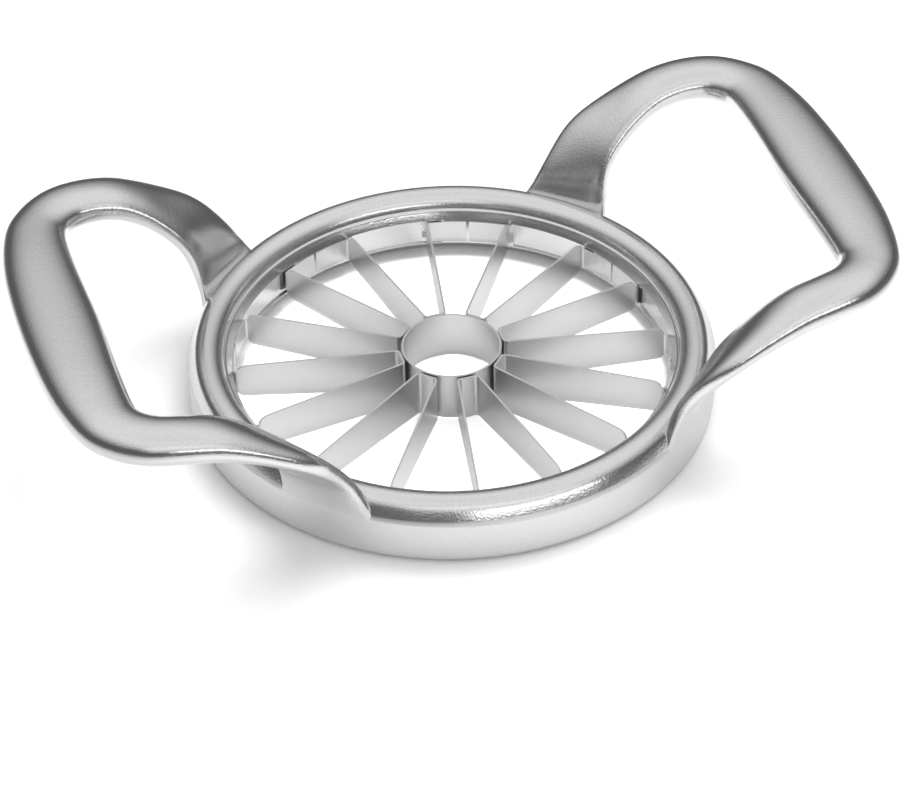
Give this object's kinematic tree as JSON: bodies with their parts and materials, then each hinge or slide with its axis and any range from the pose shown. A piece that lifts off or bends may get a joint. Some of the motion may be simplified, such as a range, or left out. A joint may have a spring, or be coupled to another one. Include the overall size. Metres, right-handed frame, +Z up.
{
  "type": "apple slicer",
  "caption": "Round cast ring with two raised loop handles, thin radial blades and a central corer tube, pressed down over an apple to cut wedges and core it.",
  "frame": {"origin": "on the axis of the ring, in the plane of the ring's flat foot", "axes": "+X through the middle of the right handle's grip, +Y across the handles, +Z up out of the ring towards the raised handles"},
  "size_m": [0.1812, 0.112, 0.0422],
  "materials": {
    "cast_frame": "satin, as die-cast and bead-blasted",
    "corer_steel": "smooth, ground rim",
    "blade_steel": "brushed, ground cutting edge"
  },
  "bodies": {
    "root": {"frame_casting": "cast_frame", "corer_tube": "corer_steel", "blade_pair_1": "blade_steel", "blade_pair_2": "blade_steel", "blade_pair_3": "blade_steel", "blade_pair_4": "blade_steel", "blade_pair_5": "blade_steel", "blade_pair_6": "blade_steel", "blade_pair_7": "blade_steel", "blade_pair_8": "blade_steel"}
  },
  "joints": []
}
